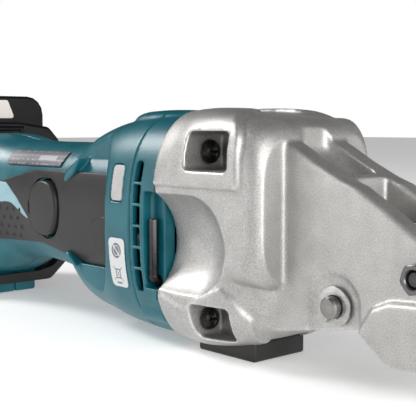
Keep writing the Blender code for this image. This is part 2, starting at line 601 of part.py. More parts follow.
def make_housings():
    window = rounded([(-32, 27, 2), (-23, 27, 2), (-23, 10.5, 2), (-32, 10.5, 2)])
    for label, side in (("right", -1), ("left", 1)):
        low, high = sorted((side * 0.15, side * 80))
        half = loft(f"housing_{label}", COLLAR, "teal")
        cut(half, rim_cutter(f"rim_cutter_{label}", side))
        fuse(half, loft(f"handle_{label}", HANDLE), loft(f"bump_{label}", BUMP_REAR),
             box(f"foot_tongue_{label}", (-174.2, -13.5, FLOOR), (-169.5, 13.5, -36)))
        cut(half, loft(f"hollow_{label}", HOLLOW), box(f"foot_window_{label}", (-180, -17, -22), (-165, 17, 22)))
        keep(half, box(f"half_space_{label}", (-260, low, -80), (40, high, 80)))
        low, high = sorted((side * 18, side * 60))
        cut(half, plate(f"window_hole_{label}", "XZ", low, high, [window]))
        if side < 0:
            cut(half, plate("button_hole", "XZ", low, high, [oval(0.6)]))
        else:
            for number, seat in enumerate(TOP_SCREWS, 1):
                cut(half, rod(f"top_screw_hole_{number}", "Z", seat, -9, 1, 1.7, steps=16),
                    rod(f"top_screw_seat_{number}", "Z", seat, -GAP, 14, 3.95))
        pane = loft(f"side_window_{label}", COLLAR, "window", grow=-0.4)
        inset = rounded([(-31.6, 26.6, 1.6), (-23.4, 26.6, 1.6), (-23.4, 10.9, 1.6), (-31.6, 10.9, 1.6)])
        low, high = sorted((side * 20, side * 60))
        keep(pane, plate(f"window_inset_{label}", "XZ", low, high, [inset]))
        cut(pane, loft(f"window_back_{label}", COLLAR, grow=-2.2, ends=4))
        grip = loft(f"grip_{label}", HANDLE, "elastomer", grow=1.7)
        cut(grip, loft(f"grip_core_{label}", HANDLE, grow=0.35, ends=3))
        low, high = sorted((side * 15, side * 26.7 + side * 5))
        keep(grip, plate(f"grip_area_{label}", "XZ", low, high, [rounded(GRIP)]))
        if side < 0:
            cut(grip, plate("grip_button_hole", "XZ", low - 10, high + 5, [oval(0.9)]))


def skin_label(name, sections, outline, finish, side, inner, outer):
    """A thin label that follows the housing's skin."""
    label = loft(name, sections, finish, grow=outer)
    cut(label, loft(name + "_core", sections, grow=inner, ends=4))
    low, high = sorted((side * 10, side * 60))
    keep(label, plate(name + "_area", "XZ", low, high, [outline]))


def make_handle_fittings():
    skin_label("info_label", COLLAR, rounded([(-32, -5.5, 2), (-20.5, -5.5, 2), (-20.5, -27.5, 2), (-32, -27.5, 2)]),
               "pale", -1, 0.3, 0.7)
    skin_label("rating_plate", HANDLE, rounded([(-135, 31, 1), (-83, 31, 1), (-85, 23.6, 1), (-135, 23.6, 1)]),
               "elastomer", -1, 0.3, 0.8)
    low, high = -29.4, -18
    button = plate("switch_button", "XZ", low, high, [oval(0)], "elastomer", bevel=1.2)
    attach(pivot("switch_axis", (BUTTON_X, low, BUTTON_Z)), button)
    box("switch_unit", (-110, -13.5, -12), (-87.5, 12, 16), "black_plastic", bevel=1)
    box("control_board", (-150, -14, -10), (-116, 14, -6), "board")
    for number, seat in enumerate(TOP_SCREWS, 1):
        pan_screw(f"top_screw_{number}", "Z", seat, 1, 7, radius=3.6, shank=1.4)
    block = [(-174.5, 22), (-181, 22), (-181, 26), (-186, 26), (-186, -26), (-181, -26), (-181, -22), (-174.5, -22)]
    plate("pack_rail", "XY", -38, 28, [block], "black_plastic")
    bumper = rounded([(-31, -33, 0), (-24, -39, 6), (-14, -41, 0), (14, -41, 0), (24, -39, 6), (31, -33, 0),
                      (33, -37, 2), (22, -46.5, 6), (-22, -46.5, 6), (-33, -37, 2)])
    foot = plate("foot_bumper", "YZ", -173.5, -166.5, [bumper], "elastomer")
    cut(foot, loft("bumper_relief", HANDLE, grow=GAP, ends=3), box("bumper_tongue", (-174.5, -13.8, -60), (-169.2, 13.8, -30)))


# ---------------------------------------------------------------- battery

PACK_TOP = 61.5
PACK_BOTTOM = -50.5
FRONT_OUTLINE = [(9, 46, 0), (30, 43, 5), (37.5, 35, 6), (37.5, -34, 8), (28, -43, 6), (16, -48, 6)]
BACK_OUTLINE = [(37.5, PACK_TOP, 11), (37.5, PACK_BOTTOM, 13)]


def make_pack():
    axis = pivot("pack_axis", (-174, 0, 0))
    front = rounded(mirrored(FRONT_OUTLINE))
    back = rounded(mirrored(BACK_OUTLINE))
    case = plate("battery_case", "YZ", -209, -196, [back], "black_plastic", bevel=1.5)
    fuse(case, plate("pack_front", "YZ", -200, -178, [front], bevel=1.5))
    room = rounded(mirrored([(34.6, PACK_TOP - 2.8, 8), (34.6, PACK_BOTTOM + 2.8, 10)]))
    cut(case, plate("pack_room", "YZ", -214, -199, [room]))
    channel = [(-150, 22.5), (-180.5, 22.5), (-180.5, 26.5), (-186.5, 26.5), (-186.5, -26.5), (-180.5, -26.5),
               (-180.5, -22.5), (-150, -22.5)]
    cut(case, plate("pack_channel", "XY", -70, 29, [channel]),
        box("button_pocket", (-187.6, -12.4, 31.6), (-170, 12.4, 43.4)))
    cover = plate("battery_cover", "YZ", PACK_BACK, -209.3, [back], "black_plastic", bevel=2.5)
    cut(cover, plate("cover_room", "YZ", -237, -200, [room]))
    outline = []
    for x, rows in ((-208.6, range(5)), (-226.8, reversed(range(5)))):
        lean = 1 if x > -215 else -1
        for row in rows:
            z = -31.3 + 18.4 * row
            for step in range(5):
                angle = lean * (-math.pi * 0.4 + math.pi * 0.8 * step / 4)
                outline.append((x + lean * 9.1 * math.cos(angle), z + 9.1 * math.sin(angle)))
    cells = plate("cell_pack", "XZ", -32.5, 32.5, [outline], "window")
    button = box("battery_release_button", (-183.2, -12, 32), (-176.3, 12, 43), "black_plastic", bevel=1)
    badge = plate("battery_label", "YZ", -195.7, -195.2, [rounded(mirrored([(12, 59, 1.5), (16.5, 48.2, 1.5)]))], "pale")
    attach(axis, case, cover, cells, button, badge)


make_gear_case()
make_case_fittings()
make_rotor()
make_crank()
make_blades()
make_ring()
make_hex_key()
make_housings()
make_handle_fittings()
make_pack()
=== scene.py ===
import json
import math

import bmesh
import bpy
from mathutils import Matrix, Vector

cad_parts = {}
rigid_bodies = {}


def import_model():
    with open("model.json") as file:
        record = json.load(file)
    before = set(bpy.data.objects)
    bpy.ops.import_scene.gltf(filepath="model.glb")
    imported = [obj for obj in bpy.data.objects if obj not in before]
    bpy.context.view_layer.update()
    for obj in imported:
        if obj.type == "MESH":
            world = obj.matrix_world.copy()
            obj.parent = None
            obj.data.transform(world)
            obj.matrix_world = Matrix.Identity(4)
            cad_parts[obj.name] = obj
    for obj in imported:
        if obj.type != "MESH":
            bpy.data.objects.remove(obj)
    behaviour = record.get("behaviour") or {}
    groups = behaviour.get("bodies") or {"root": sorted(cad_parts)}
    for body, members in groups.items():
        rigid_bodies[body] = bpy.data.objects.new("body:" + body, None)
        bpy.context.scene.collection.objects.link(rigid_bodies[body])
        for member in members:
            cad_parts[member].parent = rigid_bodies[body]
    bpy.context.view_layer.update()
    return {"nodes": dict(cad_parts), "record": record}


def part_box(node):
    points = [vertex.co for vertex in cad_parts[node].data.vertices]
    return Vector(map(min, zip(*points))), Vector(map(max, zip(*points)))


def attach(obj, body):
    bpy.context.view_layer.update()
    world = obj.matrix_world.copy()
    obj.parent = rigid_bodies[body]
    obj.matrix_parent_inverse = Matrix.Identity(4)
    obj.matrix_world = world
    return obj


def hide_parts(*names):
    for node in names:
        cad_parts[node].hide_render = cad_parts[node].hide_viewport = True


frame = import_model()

# The tool's own frame: X along the motor shaft from the case's back face, Y left, Z up from the shaft.
MM = 0.001
SEAM_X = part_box("gear_case")[0][0]
SHAFT_Z = (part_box("rotor_core")[0][2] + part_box("rotor_core")[1][2]) / 2


def spot(x, y, z):
    """A place in the tool's frame, given in millimetres."""
    return Vector((SEAM_X + x * MM, y * MM, SHAFT_Z + z * MM))


PIVOT = (86.0, -22.0)
CHEEK_HALF = 18.0
BOSS_HALF = 21.0
SLOT_HALF = 9.0
CASE_SCREWS = ((-20.5, 33.3), (20.5, 33.3), (-21.0, -35.5), (21.0, -35.5))
TOP_SCREWS = ((-61.0, 10.5, 38.6), (-42.0, 10.5, 43.1))
NOSE_BOLTS = ((124.0, -7.0, CHEEK_HALF, 0.2), (134.0, -23.0, BOSS_HALF, 0.45))
BUTTON = (-93.5, 3.2)
BUTTON_HALF = (12.3, 13.6)
KEY = (-4.8, -23.0)
CRANK_Z = -19.6
HALF_SEAM = 0.15
CASE_VOXEL = 0.87
RING_VOXEL = 0.5
SHELL_VOXEL = 0.75


# ---------------------------------------------------------------- shader helpers

class Value:
    """A shader number that adds Math nodes when it is used in an expression."""

    def __init__(self, finish, socket):
        self.finish = finish
        self.socket = socket

    def math(self, operation, first, second=0.0):
        return self.finish.node("ShaderNodeMath", {"operation": operation}, {0: first, 1: second}).out(0)

    def __add__(self, other):
        return self.math("ADD", self, other)

    def __radd__(self, other):
        return self.math("ADD", other, self)

    def __sub__(self, other):
        return self.math("SUBTRACT", self, other)

    def __rsub__(self, other):
        return self.math("SUBTRACT", other, self)

    def __mul__(self, other):
        return self.math("MULTIPLY", self, other)

    def __rmul__(self, other):
        return self.math("MULTIPLY", other, self)

    def __truediv__(self, other):
        return self.math("DIVIDE", self, other)

    def __gt__(self, other):
        return self.math("GREATER_THAN", self, other)

    def __lt__(self, other):
        return self.math("LESS_THAN", self, other)

    def size(self):
        return self.math("ABSOLUTE", self)

    def largest(self, other):
        return self.math("MAXIMUM", self, other)

    def power(self, other):
        return self.math("POWER", self, other)

    def ramp(self, low, high):
        """0 below low, 1 above high, smooth between."""
        settings = {"interpolation_type": "SMOOTHSTEP"}
        inputs = {0: self, 1: low, 2: high, 3: 0.0, 4: 1.0}
        return self.finish.node("ShaderNodeMapRange", settings, inputs).out(0)


class Placed:
    """A node with its outputs as values."""

    def __init__(self, finish, node):
        self.finish = finish
        self.node = node

    def out(self, key):
        return Value(self.finish, self.node.outputs[key])


class Finish:
    """One material and the nodes that make it."""

    def __init__(self, name):
        self.material = bpy.data.materials.new(name)
        self.material.use_nodes = True
        self.tree = self.material.node_tree
        self.shader = self.tree.nodes["Principled BSDF"]
        self.place = self.node("ShaderNodeTexCoord").out("Object")

    def node(self, kind, settings=None, inputs=None):
        node = self.tree.nodes.new(kind)
        for key, value in (settings or {}).items():
            setattr(node, key, value)
        for key, value in (inputs or {}).items():
            self.feed(node.inputs[key], value)
        return Placed(self, node)

    def feed(self, socket, value):
        if isinstance(value, Value):
            self.tree.links.new(value.socket, socket)
        else:
            socket.default_value = value

    def noise(self, grain, detail=3.0, roughness=0.55):
        """Noise whose lumps are about grain millimetres across."""
        inputs = {"Vector": self.place, "Scale": 1 / (grain * MM), "Detail": detail, "Roughness": roughness}
        return self.node("ShaderNodeTexNoise", None, inputs).out(0)

    def cells(self, grain):
        inputs = {"Vector": self.place, "Scale": 1 / (grain * MM)}
        return self.node("ShaderNodeTexVoronoi", {"feature": "F1"}, inputs).out("Distance")

    def axes(self):
        parts = self.node("ShaderNodeSeparateXYZ", None, {0: self.place})
        return parts.out(0), parts.out(1), parts.out(2)

    def blend(self, factor, first, second):
        """Mixes two colours."""
        mix = self.node("ShaderNodeMix", {"data_type": "RGBA"})
        self.feed(mix.node.inputs[0], factor)
        self.feed(mix.node.inputs[6], first)
        self.feed(mix.node.inputs[7], second)
        return mix.out(2)

    def bump(self, height, depth, strength=1.0):
        """Relief of about depth millimetres."""
        inputs = {"Height": height, "Distance": depth * MM, "Strength": strength}
        self.feed(self.shader.inputs["Normal"], self.node("ShaderNodeBump", None, inputs).out(0))

    def set(self, **values):
        for key, value in values.items():
            self.feed(self.shader.inputs[key.replace("_", " ")], value)


def grey(level, warm=0.0):
    return (level * (1 + warm), level, level * (1 - warm), 1.0)


def cast_alloy():
    """Blasted aluminium casting: fine bright and dark grains over a slow mottle."""
    finish = Finish("cast_alloy")
    grains = finish.noise(0.5, 2.0, 0.7)
    mottle = finish.noise(9.0, 3.0)
    wear = finish.node("ShaderNodeNewGeometry").out("Pointiness").ramp(0.51, 0.56)
    tone = (grains * 0.75 + mottle * 0.25).ramp(0.3, 0.72)
    colour = finish.blend(tone, (0.345, 0.338, 0.326, 1), (0.61, 0.60, 0.585, 1))
    colour = finish.blend(wear * 0.55, colour, (0.86, 0.85, 0.83, 1))
    finish.set(Base_Color=colour, Metallic=0.82, Roughness=0.5 - wear * 0.12 + (grains - 0.5) * 0.12)
    finish.bump(grains * 0.7 + finish.noise(0.9) * 0.3, 0.07, 0.55)
    return finish.material


def moulded(name, colour, pale, roughness=0.42, grain=0.45, depth=0.035, gloss=0.5):
    """Satin moulded plastic with a fine spark-eroded texture and rubbed edges."""
    finish = Finish(name)
    texture = finish.noise(grain, 2.0, 0.6)
    mottle = finish.noise(14.0, 2.0)
    wear = finish.node("ShaderNodeNewGeometry").out("Pointiness").ramp(0.53, 0.6)
    tint = finish.blend(mottle.ramp(0.3, 0.7) * 0.35, colour, pale)
    tint = finish.blend(wear * 0.4, tint, pale)
    finish.set(Base_Color=tint, Roughness=roughness + (texture - 0.5) * 0.14 + (mottle - 0.5) * 0.08)
    finish.shader.inputs["Specular IOR Level"].default_value = gloss
    finish.bump(texture, depth, 0.5)
    return finish.material


def soft_grip():
    """Matt over-moulded rubber."""
    finish = Finish("soft_grip")
    pores = finish.cells(0.7)
    mottle = finish.noise(6.0)
    colour = finish.blend(mottle, grey(0.016, 0.04), grey(0.03, 0.03))
    finish.set(Base_Color=colour, Roughness=0.34 + mottle * 0.14)
    finish.shader.inputs["Specular IOR Level"].default_value = 0.34
    finish.bump(pores * 0.6 + finish.noise(0.4) * 0.4, 0.05, 0.5)
    return finish.material


def brushed(name, dark, light, grain=(60.0, 1.0, 1.0), roughness=0.32):
    """Ground steel: streaks along X with a slow stain."""
    finish = Finish(name)
    mapping = finish.node("ShaderNodeMapping", None, {"Vector": finish.place, "Scale": (1 / grain[0], 1, 1)})
    streaks = finish.node("ShaderNodeTexNoise", None,
                          {"Vector": mapping.out(0), "Scale": 2400.0, "Detail": 3.0}).out(0)
    stain = finish.noise(5.0, 4.0)
    wear = finish.node("ShaderNodeNewGeometry").out("Pointiness").ramp(0.52, 0.6)
    colour = finish.blend((streaks * 0.5 + stain * 0.5).ramp(0.3, 0.7), dark, light)
    colour = finish.blend(wear * 0.5, colour, grey(0.7))
    rough = roughness + (stain - 0.5) * 0.2 + (streaks - 0.5) * 0.1
    finish.set(Base_Color=colour, Metallic=1.0, Roughness=rough)
    finish.bump(streaks, 0.02, 0.35)
    return finish.material


def black_oxide():
    """Blacked steel, glossy where it is handled."""
    finish = Finish("black_oxide")
    stain = finish.noise(1.6, 4.0)
    wear = finish.node("ShaderNodeNewGeometry").out("Pointiness").ramp(0.53, 0.6)
    colour = finish.blend(stain, grey(0.012), grey(0.03, 0.05))
    colour = finish.blend(wear * 0.6, colour, grey(0.22))
    finish.set(Base_Color=colour, Metallic=0.75, Roughness=0.3 + (stain - 0.5) * 0.25)
    finish.bump(finish.noise(0.5), 0.03, 0.3)
    return finish.material


def band(value, middle, half, soft):
    """1 within half of middle and 0 outside, with soft edges, in metres."""
    return 1 - (value - middle).size().ramp(half - soft, half + soft)


def safety_label():
    """A pale film with a round mark and a bin-like mark made of plain shapes."""
    finish = Finish("safety_label")
    x, _, z = finish.axes()
    centre = spot(-26.2, 0, 0)
    across = x - centre.x
    ring_up = z - spot(0, 0, -11).z
    bin_up = z - spot(0, 0, -21.4).z
    ring = (across * across + ring_up * ring_up).power(0.5)
    disc = 1 - ring.ramp(0.0033, 0.0035)
    hole = 1 - (ring - 0.0022).size().ramp(0.00018, 0.0003)
    slash = band(across + ring_up, 0.0, 0.0006, 0.0001)
    box_mark = band(across, 0.0, 0.0018, 0.0001) * band(bin_up, 0.0, 0.0022, 0.0001)
    box_core = band(across, 0.0, 0.0013, 0.0001) * band(bin_up, 0.0, 0.0016, 0.0001)
    cross = band(across.size() - bin_up.size(), 0.0, 0.00025, 0.0001) * band(bin_up, 0.0, 0.0032, 0.0001)
    bar = band(across, 0.0, 0.0018, 0.0001) * band(bin_up, -0.0042, 0.0004, 0.0001)
    ink = (disc - (hole + slash * disc) * 0.8).largest(box_mark - box_core).largest(cross).largest(bar)
    colour = finish.blend(ink * 0.85, (0.66, 0.67, 0.68, 1), (0.05, 0.06, 0.08, 1))
    finish.set(Base_Color=colour, Roughness=0.4 + finish.noise(2.0) * 0.1)
    finish.bump(finish.noise(0.6), 0.01, 0.3)
    return finish.material


def rating_film():
    """Dark film with rows of plain grey bars in place of print."""
    finish = Finish("rating_film")
    x, _, z = finish.axes()
    rows = finish.node("ShaderNodeTexWave", {"bands_direction": "Z"},
                       {"Vector": finish.place, "Scale": 150.0, "Distortion": 0.0}).out("Fac")
    dashes = finish.node("ShaderNodeTexNoise", None,
                         {"Vector": finish.node("ShaderNodeMapping", None,
                                                {"Vector": finish.place, "Scale": (1, 0, 0.45)}).out(0),
                          "Scale": 800.0, "Detail": 1.0}).out(0)
    ink = rows.ramp(0.62, 0.72) * dashes.ramp(0.46, 0.52)
    patch = band(x, spot(-99, 0, 0).x, 0.008, 0.0002) * band(z, spot(0, 0, 27.6).z, 0.0012, 0.0002)
    colour = finish.blend((ink * 0.45).largest(patch * 0.8), (0.045, 0.045, 0.055, 1), (0.34, 0.34, 0.38, 1))
    finish.set(Base_Color=colour, Roughness=0.36 + finish.noise(3.0) * 0.1)
    return finish.material


def frosted(name, dark, light, roughness=0.45):
    finish = Finish(name)
    cloud = finish.noise(5.0, 3.0)
    finish.set(Base_Color=finish.blend(cloud, dark, light), Roughness=roughness + (cloud - 0.5) * 0.2)
    finish.bump(finish.noise(0.5), 0.02, 0.4)
    return finish.material


def amber_seal():
    """Sealing compound: near-black above, amber below, blended by height."""
    finish = Finish("amber_seal")
    height = finish.axes()[2]
    # amber below z -8 and near-black above z 2, blended between
    amber_below = 1 - height.ramp(spot(0, 0, -8).z, spot(0, 0, 2).z)
    cloud = finish.noise(4.0, 3.0)
    colour = finish.blend(cloud, (0.42, 0.16, 0.03, 1), (0.62, 0.27, 0.06, 1))
    colour = finish.blend(amber_below, (0.01, 0.04, 0.05, 1), colour)
    finish.set(Base_Color=colour, Roughness=0.4 + cloud * 0.15)
    finish.bump(finish.noise(0.6), 0.02, 0.4)
    return finish.material


TEAL = moulded("teal_shell", (0.0, 0.098, 0.128, 1), (0.02, 0.19, 0.235, 1), 0.36)
FLAME = moulded("pale_teal_inlay", (0.24, 0.42, 0.48, 1), (0.5, 0.62, 0.66, 1), 0.35)
CAST = cast_alloy()
GRIP = soft_grip()
BLACK = moulded("black_shell", (0.004, 0.004, 0.0045, 1), (0.014, 0.014, 0.015, 1), 0.42, gloss=0.28)
OXIDE = black_oxide()
STEEL = brushed("ground_steel", grey(0.3, 0.02), grey(0.55, 0.02))
PIN_STEEL = brushed("pin_steel", grey(0.07, 0.12), grey(0.17, 0.1), roughness=0.36)
BLADE = brushed("blade_steel", grey(0.13, 0.06), grey(0.26, 0.04), roughness=0.4)
COPPER = brushed("turned_copper", (0.4, 0.16, 0.06, 1), (0.75, 0.36, 0.16, 1))
WINDOW = frosted("grey_window", (0.42, 0.41, 0.40, 1), (0.56, 0.55, 0.53, 1))
CREAM = frosted("cream_film", (0.72, 0.69, 0.62, 1), (0.8, 0.77, 0.7, 1), 0.35)
SEAL = amber_seal()
BOARD = frosted("green_board", (0.01, 0.1, 0.03, 1), (0.02, 0.2, 0.06, 1))
LABEL = safety_label()
RATING = rating_film()


# ---------------------------------------------------------------- modelling helpers

def rounded(corners, steps=8):
    """An outline whose (u, v, radius) corners are arcs."""
    points = []
    for index, (u, v, radius) in enumerate(corners):
        here = Vector((u, v))
        if radius == 0:
            points.append(here)
            continue
        before = (Vector(corners[index - 1][:2]) - here).normalized()
        after = (Vector(corners[(index + 1) % len(corners)][:2]) - here).normalized()
        half = before.angle(after) / 2
        centre = here + (before + after).normalized() * (radius / math.sin(half))
        spoke = here + before * (radius / math.tan(half)) - centre
        turn = math.pi - 2 * half
        if spoke.cross(here - centre) < 0:
            turn = -turn
        points += [centre + Matrix.Rotation(turn * step / steps, 2) @ spoke for step in range(steps + 1)]
    return points


def circle(u, v, radius, steps=32, phase=0.0):
    turns = [phase + 2 * math.pi * step / steps for step in range(steps)]
    return [Vector((u + radius * math.cos(turn), v + radius * math.sin(turn))) for turn in turns]


LAYOUTS = {"XY": lambda u, v, w: (u, v, w), "XZ": lambda u, v, w: (u, w, v), "YZ": lambda u, v, w: (w, u, v)}


def prism(plane, low, high, outline, ease=0.0, segments=3):
    """A solid with a flat outline in one plane, its rims rounded by ease."""
    work = bmesh.new()
    turn = LAYOUTS[plane]
    base = work.faces.new([work.verts.new(spot(*turn(u, v, low))) for u, v in outline])
    grown = bmesh.ops.extrude_face_region(work, geom=[base])
    across = Vector(turn(0, 0, (high - low) * MM))
    top = [item for item in grown["geom"] if isinstance(item, bmesh.types.BMVert)]
    bmesh.ops.translate(work, verts=top, vec=across)
    bmesh.ops.recalc_face_normals(work, faces=work.faces)
    if ease:
        rims = [edge for edge in work.edges if abs((edge.verts[0].co - edge.verts[1].co).dot(across)) < 1e-10]
        bmesh.ops.bevel(work, geom=rims, offset=ease * MM, segments=segments, affect="EDGES", profile=0.5,
                        material=-1, clamp_overlap=True)
    return work


def block(low, high, ease=0.0):
    """A box between two corners with rounded edges."""
    work = bmesh.new()
    bmesh.ops.create_cube(work, size=1)
    for vert in work.verts:
        vert.co = spot(*[(low[k] + high[k]) / 2 + vert.co[k] * (high[k] - low[k]) for k in range(3)])
    if ease:
        bmesh.ops.bevel(work, geom=work.edges[:], offset=ease * MM, segments=4, affect="EDGES", profile=0.5,
                        material=-1)
    return work


WAYS = {"X": Vector((1, 0, 0)), "Y": Vector((0, 1, 0)), "Z": Vector((0, 0, 1))}


def turned(axis, centre, profile, steps=48):
    """A solid of revolution from (distance along the axis, radius) points."""
    work = bmesh.new()
    along = WAYS[axis]
    out = Vector((0, 0, 1)) if axis != "Z" else Vector((1, 0, 0))
    place = spot(*centre)
    verts = [work.verts.new(place + (along * reach + out * radius) * MM) for reach, radius in profile]
    edges = [work.edges.new(pair) for pair in zip(verts, verts[1:])]
    if profile[0][1] > 0:
        edges.append(work.edges.new((verts[-1], verts[0])))
    bmesh.ops.spin(work, geom=verts + edges, cent=place, axis=along, angle=2 * math.pi, steps=steps,
                   use_merge=True)
    bmesh.ops.remove_doubles(work, verts=work.verts, dist=1e-6)
    bmesh.ops.recalc_face_normals(work, faces=work.faces)
    return work


def rod(axis, centre, low, high, radius, ease=0.0):
    return turned(axis, centre, ((low, 0), (low, radius - ease), (low + ease, radius), (high - ease, radius),
                                 (high, radius - ease), (high, 0)))


def squarish(angle, power):
    """The cosine and sine of an angle on a superellipse."""
    return [math.copysign(abs(part) ** (2 / power), part) for part in (math.cos(angle), math.sin(angle))]


def glide(sections, x):
    """Section values at x on a smooth curve through the given sections."""
    count = len(sections)
    for index in range(count - 1):
        first, second = sections[index], sections[index + 1]
        low, high = sorted((first[0], second[0]))
        if low <= x <= high:
            break
    before = sections[max(index - 1, 0)]
    after = sections[min(index + 2, count - 1)]
    span = second[0] - first[0]
    t = (x - first[0]) / span
    values = []
    for k in range(1, 5):
        lead = (second[k] - before[k]) / (second[0] - before[0]) * span
        tail = (after[k] - first[k]) / (after[0] - first[0]) * span
        values.append((2 * t ** 3 - 3 * t ** 2 + 1) * first[k] + (t ** 3 - 2 * t ** 2 + t) * lead
                      + (3 * t ** 2 - 2 * t ** 3) * second[k] + (t ** 3 - t ** 2) * tail)
    return values


def loft(sections, grow=0.0, ends=0.0, count=128, pitch=2.0):
    """A smooth closed skin through superellipse sections (x, half width, low, high, power)."""
    first, last = sections[0][0], sections[-1][0]
    stations = max(int(abs(last - first) / pitch), 2)
    lean = math.copysign(ends, last - first)
    work = bmesh.new()
    loops = []
    for station in range(stations + 1):
        x = first + (last - first) * station / stations
        half_width, low, high, power = glide(sections, x)
        middle, rise = (low + high) / 2, (high - low) / 2 + grow
        ring = bmesh.ops.create_circle(work, segments=count, radius=1, cap_ends=False)["verts"]
        shift = {0: -lean, stations: lean}.get(station, 0)
        for vert in ring:
            across, up = squarish(math.atan2(vert.co.y, vert.co.x), power)
            vert.co = spot(x + shift, (half_width + grow) * across, middle + rise * up)
        loops.append(list({edge for vert in ring for edge in vert.link_edges}))
    for one, other in zip(loops, loops[1:]):
        bmesh.ops.bridge_loops(work, edges=one + other)
    for loop in (loops[0], loops[-1]):
        bmesh.ops.contextual_create(work, geom=loop)
    bmesh.ops.recalc_face_normals(work, faces=work.faces)
    return work


def finished(name, work, material):
    """Turns a bmesh into a piece with one material."""
    mesh = bpy.data.meshes.new(name)
    for face in work.faces:
        face.smooth = True
    work.to_mesh(mesh)
    work.free()
    piece = bpy.data.objects.new(name, mesh)
    bpy.context.scene.collection.objects.link(piece)
    mesh.materials.append(material)
    return piece


def tool_group(name, works):
    """A hidden collection of solids for one Boolean."""
    group = bpy.data.collections.new(name)
    for number, work in enumerate(works):
        mesh = bpy.data.meshes.new(f"{name}_{number}")
        work.to_mesh(mesh)
        work.free()
        group.objects.link(bpy.data.objects.new(f"{name}_{number}", mesh))
    return group


def shaped(piece, steps):
    """Runs Boolean steps, each an operation and its solids, then keeps the result as the piece's mesh."""
    groups = []
    for number, (operation, works) in enumerate(steps):
        group = tool_group(f"{piece.name}_step_{number}", works)
        bpy.context.scene.collection.children.link(group)
        groups.append(group)
        change = piece.modifiers.new(group.name, "BOOLEAN")
        change.operation = operation
        change.solver = "EXACT"
        change.operand_type = "COLLECTION"
        change.collection = group
    settle(piece)
    for group in groups:
        for item in list(group.objects):
            bpy.data.objects.remove(item)
        bpy.data.collections.remove(group)
    return piece


def settle(piece):
    """Applies every modifier on a piece."""
    bpy.context.view_layer.update()
    graph = bpy.context.evaluated_depsgraph_get()
    mesh = bpy.data.meshes.new_from_object(piece.evaluated_get(graph))
    materials = list(piece.data.materials)
    piece.modifiers.clear()
    piece.data = mesh
    mesh.materials.clear()
    for material in materials[:1]:
        mesh.materials.append(material)
    mesh.shade_smooth()


def cast_round(piece, voxel, passes, factor=0.5):
    """Rounds every edge as a mould does: an even skin, relaxed a little."""
    skin = piece.modifiers.new("even_skin", "REMESH")
    skin.mode = "VOXEL"
    skin.voxel_size = voxel * MM
    settle(piece)
    work = bmesh.new()
    work.from_mesh(piece.data)
    for _ in range(passes):
        bmesh.ops.smooth_vert(work, verts=work.verts, factor=factor, use_axis_x=True, use_axis_y=True,
                              use_axis_z=True)
    for face in work.faces:
        face.smooth = True
    work.to_mesh(piece.data)
    work.free()
    return piece


def eased(name, node, material, width, segments=3, angle=30.0):
    """A finer copy of a CAD node with its edges broken."""
    work = bmesh.new()
    work.from_mesh(frame["nodes"][node].data)
    bmesh.ops.remove_doubles(work, verts=work.verts, dist=2e-5)
    bmesh.ops.dissolve_limit(work, angle_limit=math.radians(2), verts=work.verts, edges=work.edges)
    piece = finished(name, work, material)
    edge = piece.modifiers.new("broken_edge", "BEVEL")
    edge.width = width * MM
    edge.segments = segments
    edge.limit_method = "ANGLE"
    edge.angle_limit = math.radians(angle)
    edge.harden_normals = False
    settle(piece)
    piece.data.set_sharp_from_angle(angle=math.radians(50))
    return piece


BODY_OF = {node: body for body, nodes in frame["record"]["behaviour"]["bodies"].items() for node in nodes}
SLOT_OF = {entry["node"]: entry["material_slot"] for entry in frame["record"]["subparts"]}


def stand_for(piece, *nodes):
    """The piece takes over CAD nodes: it hides them and joins their body."""
    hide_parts(*nodes)
    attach(piece, BODY_OF[nodes[0]])
    return piece


# ---------------------------------------------------------------- gear case

CASE_TOP = ((0, 33, -49, 49, 2.7), (12, 33, -40, 49.4, 3.2), (22, 33, -30, 49.3, 4), (40, 33, -22, 48.5, 5),
            (52, 33.5, -20, 46.8, 5), (58, 32.5, -20, 43.8, 4.5), (61, 29.8, -18, 39.8, 4))
CASE_FOOT = ((0, 33, -49, 49, 2.7), (20, 31.8, -47.6, 20, 3.1), (44, 28, -43, 10, 3.2), (52, 23, -40, 4, 3.2),
             (59, 17.5, -37, 0, 3.2))
CHEEK = [(44, 40, 0), (56, 43, 4), (62, 37.5, 4), (65.6, 35.8, 0), (76, 30.1, 0), (88, 24.5, 0), (95, 22, 0),
         (107, 15.1, 0), (121, 6.3, 0), (133, -2, 3), (136.6, -12, 4), (145.3, -20.7, 4), (146.2, -30, 6),
         (137.5, -37.2, 6), (113, -39, 8), (98.8, -28.6, 3), (51, -37.3, 0), (44, -38.5, 0)]
JAW_BOSS = [(98, -29, 0), (104, -20, 4), (112, -16.5, 4), (137, -15, 3), (146, -20, 3), (147, -30, 6),
            (138, -38, 6), (112, -40, 8)]


def scoop(side):
    """The round-ended groove that lets a fingertip reach the stored key."""
    radius = 24.6
    turns = [math.pi / 2 * k / 16 for k in range(17)]
    arc = [(22 + radius * math.sin(turn), radius * math.cos(turn)) for turn in turns]
    return turned("X", (0, side * 45.7, -5), [(-8, 0), (-8, radius)] + arc[:-1] + [(22 + radius, 0)], 96)


def screw_pocket(y, z, high):
    """A notch open to the side: a flat seat facing forward, and a hollow front wall."""
    side = math.copysign(1, y)
    reach = 50 * side
    inner = y - side * 7
    front = 46.5 if z > 0 else 43
    outline = rounded([(20.8, reach, 0), (20.8, inner, 0), (36.5, inner, 8), (front, side * 33.4, 0),
                       (front, reach, 0)])
    return prism("XY", z - 7.3, high, outline, ease=2.2, segments=5)


